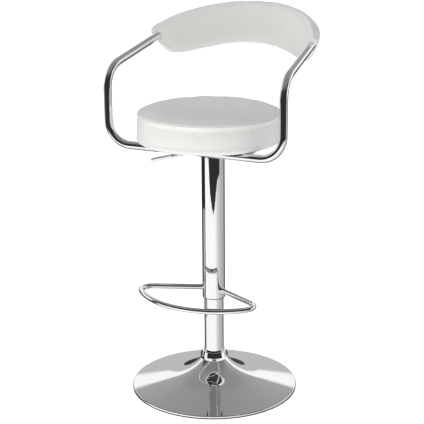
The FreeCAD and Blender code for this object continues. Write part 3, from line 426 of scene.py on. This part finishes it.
def thread_run(name, places, normals, pitch, length, radius, material, body):
    """Separate stitches laid end to end along a closed line of places."""
    sides = 6
    humps = ((-0.5, 0.35, -0.6), (-0.3, 1.0, 0.1), (0.0, 1.0, 0.35), (0.3, 1.0, 0.1), (0.5, 0.35, -0.6))
    lengths = [0.0]
    count = len(places)
    for step in range(count):
        lengths.append(lengths[-1] + (places[(step + 1) % count] - places[step]).length)
    total = lengths[-1]
    stitches = max(8, round(total / pitch))
    points, faces = [], []
    step = 0
    for number in range(stitches):
        middle = (number + 0.5) * total / stitches
        while lengths[step + 1] < middle:
            step += 1
        here, there = places[step % count], places[(step + 1) % count]
        share = (middle - lengths[step]) / max(1e-9, lengths[step + 1] - lengths[step])
        centre = here.lerp(there, share)
        along = (there - here).normalized()
        out = normals[step % count].normalized()
        across = out.cross(along).normalized()
        base = len(points)
        for end, size, lift in humps:
            for side in range(sides):
                turn = TAU * side / sides
                offset = across * math.cos(turn) * radius * size + out * (math.sin(turn) * size + lift) * radius
                points.append(centre + along * end * length + offset)
        for row in range(len(humps) - 1):
            lower, upper = base + row * sides, base + (row + 1) * sides
            for side in range(sides):
                after = (side + 1) % sides
                faces.append((lower + side, lower + after, upper + after, upper + side))
        faces.append(tuple(base + side for side in reversed(range(sides))))
        faces.append(tuple(upper + side for side in range(sides)))
    return mesh_piece(name, points, faces, material, body)


# ---------------------------------------------------------------- seat cushion
def seat_cushion():
    """A round pad with a seam below its shoulder, a pocket for the board, and slight puckers."""
    low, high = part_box("seat_cushion")
    board_low, board_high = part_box("seat_board")
    centre = Vector(((low.x + high.x) / 2, (low.y + high.y) / 2, 0.0))
    radius = (high.x - low.x) / 2
    bottom, crown = low.z, high.z
    seam = bottom + 68.7 * MM
    pocket = (board_high.x - board_low.x) / 2 + 0.4 * MM
    pocket_top = board_high.z + 0.4 * MM
    count = 240
    corner = 13 * MM
    neck_in = 1.8 * MM
    dome = (
        (0, 0), (0.8, 1.3), (2.8, 2.7), (7, 4.7), (12, 6.8), (18, 9.1), (24, 11.0),
        (30, 12.2), (37, 12.8), (46, 13.05), (60, 13.15), (80, 13.2),
    )

    def ringed(profile):
        spokes = [Vector((math.cos(TAU * k / count), math.sin(TAU * k / count), 0)) for k in range(count)]
        return [[centre + spoke * r + Vector((0, 0, z)) for spoke in spokes] for r, z in profile]

    def bend(middle_r, middle_z, reach, first, last, steps):
        """Points on an arc, by angle in degrees from straight down through outward to up."""
        turns = [math.radians(first + (last - first) * step / steps) for step in range(steps + 1)]
        return [(middle_r + reach * math.sin(turn), middle_z - reach * math.cos(turn)) for turn in turns]

    def profile(slack, fine):
        """Radius and height from the pocket's top, out under the pad, up its side and in over its dome."""
        out = radius - slack
        floor = bottom + slack * 0.2
        steps = 3 if fine else 1
        line = [(pocket * share, pocket_top) for share in (0.02, 0.3, 0.6, 0.85, 0.995)]
        line += [(pocket, pocket_top - 1 * MM), (pocket, floor + 4 * MM), (pocket + 0.2 * MM, floor)]
        line += bend(out - corner, floor + corner, corner, 8, 90, 4 * steps)
        side = 10 * steps
        low_z, high_z = floor + corner, seam - 1.5 * MM
        for step in range(1, side):
            share = step / side
            line.append((out - neck_in * smooth_step(share, 0.55, 1.0), low_z + (high_z - low_z) * share))
        edge = out - neck_in
        scale = (crown + 1.2 * MM - slack * 0.5 - seam) / (11.6 * MM)
        line += [(edge - inward * MM, seam + rise * MM * scale) for inward, rise in dome]
        edge_r = line[-1][0]
        for step in range(1, 9 * steps):
            share = step / (9 * steps)
            line.append((edge_r * (1 - share), line[-1][1] + 0.4 * MM * scale / (9 * steps)))
        line.append((0.0008, line[-1][1]))
        return line

    def held(point):
        return 1.0 - smooth_step(point.z, bottom + 4 * MM, bottom + 16 * MM)

    tree = swell("seat_blank", ringed(profile(3.0 * MM, False)), 5 * MM, 4.0, 7 * MM, held)
    line = profile(0.0, True)
    dense = []
    for (r0, z0), (r1, z1) in zip(line, line[1:]):
        near = abs((z0 + z1) / 2 - seam) < 6 * MM and r0 > radius * 0.9
        longest = (0.6 if near else 4.0) * MM
        pieces = max(1, math.ceil(math.hypot(r1 - r0, z1 - z0) / longest))
        dense += [(r0 + (r1 - r0) * k / pieces, z0 + (z1 - z0) * k / pieces) for k in range(pieces)]
    dense.append(line[-1])
    rings = ringed(dense)
    seam_places, seam_normals = [], []
    for ring, (r, z) in zip(rings, dense):
        free = smooth_step(z, bottom + 6 * MM, bottom + 18 * MM) if r > pocket + 1 * MM else 0.0
        if z > pocket_top + 20 * MM:
            free = smooth_step(r, 4 * MM, 30 * MM)
        puff = (0.6 - 0.42 * smooth_step(z, seam - 14 * MM, seam - 2 * MM)) * free
        for index, point in enumerate(ring):
            outward = Vector((point.x - centre.x, point.y - centre.y, 0)).normalized()
            if free > 0:
                point = point.lerp(snap(point, tree)[0], puff)
            wobble = noise.noise(point * 22.0) * 0.9 * MM * free
            point = point + outward * wobble * (1.0 if r > radius * 0.7 else 0.0)
            if z > seam - 12 * MM and r > radius * 0.88:
                turn = TAU * index / count
                off = z - seam - 0.35 * MM * math.sin(turn * 3 + 0.8)
                pucker = noise.noise(Vector((math.cos(turn) * 26, math.sin(turn) * 26, z * 60))) * 0.35 * MM
                groove, lip = 1.9 * MM * hill(off, 1.0 * MM), 0.55 * MM * hill(abs(off) - 2.6 * MM, 1.4 * MM)
                point = point - outward * (groove - lip)
                point = point + outward * pucker * hill(off, 9 * MM)
            ring[index] = point
        if abs(z - (seam - 3.2 * MM)) < 0.32 * MM and r > radius * 0.9 and not seam_places:
            seam_places = [p + (p - centre).normalized() * 0.05 * MM for p in ring]
            seam_normals = [Vector((p.x - centre.x, p.y - centre.y, 0)).normalized() for p in ring]
    cushion = mesh_piece(
        "seat_pad", skin_points(rings), skin_faces(len(rings), count), finishes["white_leatherette"],
        "seat",
    )
    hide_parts("seat_cushion")
    if seam_places:
        pitch, length, thickness = 4.6 * MM, 3.6 * MM, 0.42 * MM
        thread_run(
            "seat_stitches", seam_places, seam_normals, pitch, length, thickness, thread(),
            "seat",
        )


seat_cushion()



# ---------------------------------------------------------------- backrest
def curve_through(marks, at):
    """Smooth height at an angle, through (angle, height) marks in order of angle."""
    for number in range(len(marks) - 1):
        (x0, y0), (x1, y1) = marks[number], marks[number + 1]
        if at <= x1 or number == len(marks) - 2:
            before = marks[number - 1] if number else (-x1, y1)
            after = marks[number + 2] if number + 2 < len(marks) else (x1 + (x1 - x0), y1 + (y1 - y0))
            slope0 = (y1 - before[1]) / (x1 - before[0])
            slope1 = (after[1] - y0) / (after[0] - x0)
            span = x1 - x0
            t = (at - x0) / span
            return (
                (2 * t**3 - 3 * t**2 + 1) * y0
                + (t**3 - 2 * t**2 + t) * span * slope0
                + (3 * t**2 - 2 * t**3) * y1
                + (t**3 - t**2) * span * slope1
            )
    return marks[-1][1]


def backrest():
    """One pad on a tilted arc: a flat front, a bulging rear, and a thin rounded rim that follows the front."""
    axis_y, axis_z, tilt = 12 * MM, 928 * MM, math.radians(20)
    rim, tip = 237.0, 66.0
    top_marks = (
        (0, 93), (15, 88), (30, 71), (40, 53), (50, 30), (56, 12), (60, -1), (63, -11), (65, -20), (66, -29),
    )
    low_marks = (
        (0, -20), (15, -27), (30, -47), (38, -60), (45, -69), (50, -71.5), (54, -67), (58, -57), (62, -44),
        (65, -34), (66, -29),
    )
    back = Vector((0, math.cos(tilt), -math.sin(tilt)))
    rise = Vector((0, math.sin(tilt), math.cos(tilt)))
    origin = Vector((0, axis_y, axis_z))

    def placed(turn, radial, height):
        """A point from its angle in degrees and its radius and height in millimetres."""
        angle = math.radians(turn)
        along = Vector((radial * math.sin(angle), 0, 0)) + back * (radial * math.cos(angle)) + rise * height
        return origin + along * MM

    def rounding(distance, width):
        return math.sqrt(max(0.0, 1 - (1 - min(1.0, max(0.0, distance) / width)) ** 2))

    def rising(distance, width):
        return math.sin(math.pi / 2 * min(1.0, max(0.0, distance) / width))

    def heights(turn):
        return curve_through(low_marks, abs(turn)), curve_through(top_marks, abs(turn))

    def section(turn, slack, count):
        """Closed loop of points round the pad at one angle, up the front and down the rear."""
        low, high = heights(turn)
        low, high = low + slack, high - slack
        half = max(0.4, (high - low) / 2)
        middle = (low + high) / 2
        end = (tip - abs(turn)) * math.radians(1) * rim
        loop = []
        for k in range(count):
            share = 2.0 * k / count
            front = share < 1.0
            across = -math.cos(math.pi * share) if front else math.cos(math.pi * (share - 1.0))
            height = middle + half * across
            edge = half * (1 - abs(across))
            if front:
                depth = -(8.0 - slack * 0.6) * rounding(edge, 7.0) * rounding(end, 13.0)
            else:
                depth = (6.0 - slack * 0.3) * rounding(edge, 8.0) * rounding(end, 10.0)
                swell_up = rising(high - height, 26.0) * rising(height - low, 62.0) * rising(end, 105.0)
                depth += (22.0 - slack * 0.7) * swell_up
            loop.append((rim + depth, height))
        return loop

    def turns(steps):
        """Angles across the pad, closer together towards its ends."""
        limit = tip - 0.12
        shares = [2 * k / steps - 1 for k in range(steps + 1)]
        return [limit * math.copysign(1 - (1 - abs(share)) ** 1.6, share) for share in shares]

    def rings_of(slack, steps, count):
        return [
            [placed(turn, radial, height) for radial, height in section(turn, slack, count)]
            for turn in turns(steps)
        ]

    tree = swell("back_blank", rings_of(2.4, 110, 64), 4 * MM, 4.0, 5 * MM, lambda point: 0.0)
    count, steps = 128, 280
    rings = []
    for turn in turns(steps):
        loop = section(turn, 0.0, count)
        low, high = heights(turn)
        end = (tip - abs(turn)) * math.radians(1) * rim
        ring = []
        for index, (radial, height) in enumerate(loop):
            point = placed(turn, radial, height)
            place, normal = snap(point, tree)
            point = point.lerp(place, 0.5)
            edge = min(high - height, height - low)
            outward = normal if normal.length > 0 else Vector((0, 0, 1))
            if index > count // 2:
                seam = 1.1 * hill(edge - 9.0, 1.2) * smooth_step(end, 4.0, 12.0)
                lips = 0.35 * hill(edge - 12.0, 1.5) * smooth_step(end, 4.0, 12.0)
                point = point - outward * (seam - lips) * MM
            ring.append(point)
        rings.append(ring)
    pad = mesh_piece(
        "backrest_pad", skin_points(rings), skin_faces(len(rings), count), finishes["white_leatherette"],
        "seat",
    )
    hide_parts("backrest_front", "backrest_rear", "backrest_board")


backrest()


# ---------------------------------------------------------------- floor and light
def floor():
    count, rings = 96, (0.0005, 0.6, 2.0, 6.0, 16.0, 40.0)
    points = [Vector((0, 0, 0))]
    faces = []
    spokes = [Vector((math.cos(TAU * k / count), math.sin(TAU * k / count), 0)) for k in range(count)]
    for reach in rings:
        points += [spoke * reach for spoke in spokes]
    for k in range(count):
        faces.append((0, 1 + k, 1 + (k + 1) % count))
    for row in range(len(rings) - 1):
        for k in range(count):
            a, b = 1 + row * count + k, 1 + row * count + (k + 1) % count
            faces.append((a, b, b + count, a + count))
    mesh = bpy.data.meshes.new("floor")
    mesh.from_pydata([tuple(p) for p in points], [], faces)
    piece = bpy.data.objects.new("floor", mesh)
    scene.collection.objects.link(piece)
    look = Look("pale_floor", (0.86, 0.86, 0.86), 0.6)
    look.colours(look.noise(0.8, 2.0), (0.3, (0.85, 0.85, 0.85)), (0.7, (0.87, 0.87, 0.87)))
    look.put(Emission_Color=(1, 1, 1, 1), Emission_Strength=0.84, Specular_IOR_Level=0.15)
    mesh.materials.append(look.material)
    piece.visible_glossy = False


floor()


def glow_card(name, points, faces, grey):
    """A plain glowing card that only shows in reflections."""
    mesh = bpy.data.meshes.new(name)
    mesh.from_pydata([tuple(p) for p in points], [], faces)
    piece = bpy.data.objects.new(name, mesh)
    scene.collection.objects.link(piece)
    material = bpy.data.materials.new(name)
    material.use_nodes = True
    tree = material.node_tree
    tree.nodes.clear()
    glow = tree.nodes.new("ShaderNodeEmission")
    glow.inputs["Color"].default_value = (grey, grey, grey, 1)
    out = tree.nodes.new("ShaderNodeOutputMaterial")
    tree.links.new(glow.outputs["Emission"], out.inputs["Surface"])
    mesh.materials.append(material)
    piece.visible_camera = False
    piece.visible_diffuse = False
    piece.visible_shadow = False
    piece.visible_transmission = False


def card(name, first, last, reach, low, high, grey):
    """A curved card between two angles from the camera's side, in degrees."""
    steps = 24
    marks = [(first + (last - first) * step / steps, low) for step in range(steps + 1)]
    edge_card(name, marks, reach, high, grey)


def edge_card(name, marks, reach, high, grey):
    """A card whose lower edge follows (angle, height) marks."""
    points, faces = [], []
    for angle, low in marks:
        turn = math.radians(angle + CAMERA_SIDE)
        x, y = reach * math.sin(turn), -reach * math.cos(turn)
        points += [Vector((x, y, low)), Vector((x, y, high))]
    for step in range(len(marks) - 1):
        a = 2 * step
        faces.append((a, a + 2, a + 3, a + 1))
    glow_card(name, points, faces, grey)


def tongue_card():
    """The dark room behind the camera, which dips to a point in the middle of the sleeve."""
    marks = (
        (-100, 0.22), (-47, 0.21), (-46, 0.2), (-42, 0.16), (-38, 0.11), (-30, 0.06), (-22, 0.03), (-10, 0.0),
        (2, -0.015), (10, 0.0), (18, 0.03), (28, 0.07), (38, 0.11), (48, 0.13), (66, 0.14),
    )
    between, smooth = 6, []
    for (a0, z0), (a1, z1) in zip(marks, marks[1:]):
        for k in range(between):
            share = k / between
            smooth.append((a0 + (a1 - a0) * share, z0 + (z1 - z0) * smooth_step(share, 0.0, 1.0)))
    edge_card("front_dark", smooth + [marks[-1]], 1.64, 1.6, 0.03)


tongue_card()
card("left_dark", -150, -88, 1.64, 0.0, 0.22, 0.02)
card("left_line", -100, -88, 0.75, -0.1, 0.27, 0.02)


def sky():
    """Studio walls, seen only in reflections and as light; the camera sees plain white.

    They are white low down, grey overhead behind the stool and dark over and behind the camera. Below the
    horizon they stand in for the floor and darken away from the camera.
    """
    world = bpy.data.worlds.new("studio")
    scene.world = world
    world.use_nodes = True
    tree = world.node_tree
    tree.nodes.clear()

    def made(kind, **settings):
        node = tree.nodes.new(kind)
        for key, value in settings.items():
            setattr(node, key, value)
        return node

    def ramp(value, *stops):
        node = made("ShaderNodeValToRGB")
        tree.links.new(value, node.inputs["Fac"])
        marks = node.color_ramp.elements
        while len(marks) < len(stops):
            marks.new(0.5)
        for mark, (place, grey) in zip(marks, stops):
            mark.position = place
            mark.color = (grey, grey, grey, 1)
        return node.outputs["Color"]

    coords = made("ShaderNodeTexCoord")
    split = made("ShaderNodeSeparateXYZ")
    tree.links.new(coords.outputs["Generated"], split.inputs["Vector"])
    beside = ramp(split.outputs["Z"], (0.0, 1.0), (0.42, 1.0), (0.455, 0.38), (0.75, 0.28), (1.0, 0.25))
    straight = ramp(
        split.outputs["Z"],
        (0.0, 0.5), (0.26, 0.5), (0.30, 0.95), (0.42, 1.0), (0.455, 0.38), (0.75, 0.28), (1.0, 0.25),
    )
    ahead = ramp(
        split.outputs["Z"], (0.0, 1.0), (0.30, 0.9), (0.38, 0.05), (0.6, 0.06), (0.75, 0.2), (1.0, 0.22)
    )
    facing = made("ShaderNodeVectorMath", operation="DOT_PRODUCT")
    tree.links.new(coords.outputs["Generated"], facing.inputs[0])
    turn = math.radians(CAMERA_SIDE)
    facing.inputs[1].default_value = (math.sin(turn), -math.cos(turn), 0.0)
    side = made("ShaderNodeMapRange")
    tree.links.new(facing.outputs["Value"], side.inputs["Value"])
    side.inputs["From Min"].default_value, side.inputs["From Max"].default_value = -0.15, 0.2
    back = made("ShaderNodeMapRange")
    tree.links.new(facing.outputs["Value"], back.inputs["Value"])
    back.inputs["From Min"].default_value, back.inputs["From Max"].default_value = -0.62, -0.72
    behind = made("ShaderNodeMix", data_type="RGBA")
    tree.links.new(back.outputs["Result"], behind.inputs["Factor"])
    tree.links.new(beside, behind.inputs[6])
    tree.links.new(straight, behind.inputs[7])
    mix = made("ShaderNodeMix", data_type="RGBA")
    tree.links.new(side.outputs["Result"], mix.inputs["Factor"])
    tree.links.new(behind.outputs[2], mix.inputs[6])
    tree.links.new(ahead, mix.inputs[7])
    across = made("ShaderNodeVectorMath", operation="DOT_PRODUCT")
    tree.links.new(coords.outputs["Generated"], across.inputs[0])
    across.inputs[1].default_value = (math.cos(turn), math.sin(turn), 0.0)
    around = made("ShaderNodeMath", operation="ARCTAN2")
    tree.links.new(across.outputs["Value"], around.inputs[0])
    tree.links.new(facing.outputs["Value"], around.inputs[1])
    share = made("ShaderNodeMapRange")
    tree.links.new(around.outputs["Value"], share.inputs["Value"])
    share.inputs["From Min"].default_value, share.inputs["From Max"].default_value = -math.pi, math.pi
    stops = (
        (-180, 0.04), (-128, 0.04), (-112, 0.45), (-96, 1.0), (14, 1.0), (44, 0.66), (72, 0.50), (112, 0.42),
        (134, 0.10), (180, 0.05),
    )
    below = ramp(share.outputs["Result"], *[((angle + 180) / 360, grey) for angle, grey in stops])
    under = made("ShaderNodeMapRange")
    tree.links.new(split.outputs["Z"], under.inputs["Value"])
    under.inputs["From Min"].default_value, under.inputs["From Max"].default_value = -0.01, -0.05
    whole = made("ShaderNodeMix", data_type="RGBA")
    tree.links.new(under.outputs["Result"], whole.inputs["Factor"])
    tree.links.new(mix.outputs[2], whole.inputs[6])
    tree.links.new(below, whole.inputs[7])
    glow = made("ShaderNodeBackground")
    glow.inputs["Strength"].default_value = 1.06
    tree.links.new(whole.outputs[2], glow.inputs["Color"])
    plain = made("ShaderNodeBackground")
    plain.inputs["Color"].default_value = (1.0, 1.0, 1.0, 1.0)
    seen = made("ShaderNodeMixShader")
    tree.links.new(made("ShaderNodeLightPath").outputs["Is Camera Ray"], seen.inputs[0])
    tree.links.new(glow.outputs["Background"], seen.inputs[1])
    tree.links.new(plain.outputs["Background"], seen.inputs[2])
    tree.links.new(seen.outputs["Shader"], made("ShaderNodeOutputWorld").inputs["Surface"])


sky()


def softbox(name, turn, height, reach, size, watts):
    """An area light at an angle from the camera's side, aimed at the stool and kept out of reflections."""
    target = Vector((0, 0, 0.65))
    light = bpy.data.lights.new(name, "AREA")
    light.shape = "RECTANGLE"
    light.size, light.size_y = size
    light.energy = watts
    lamp = bpy.data.objects.new(name, light)
    scene.collection.objects.link(lamp)
    angle = math.radians(turn + CAMERA_SIDE)
    lamp.location = (reach * math.sin(angle), -reach * math.cos(angle), height)
    aim = target - lamp.location
    lamp.rotation_euler = aim.to_track_quat("-Z", "Y").to_euler()
    lamp.visible_glossy = False


softbox("front_softbox", -38, 1.5, 1.6, (0.8, 0.6), 10.0)
softbox("top_softbox", 150, 2.4, 0.6, (1.4, 1.4), 6.5)
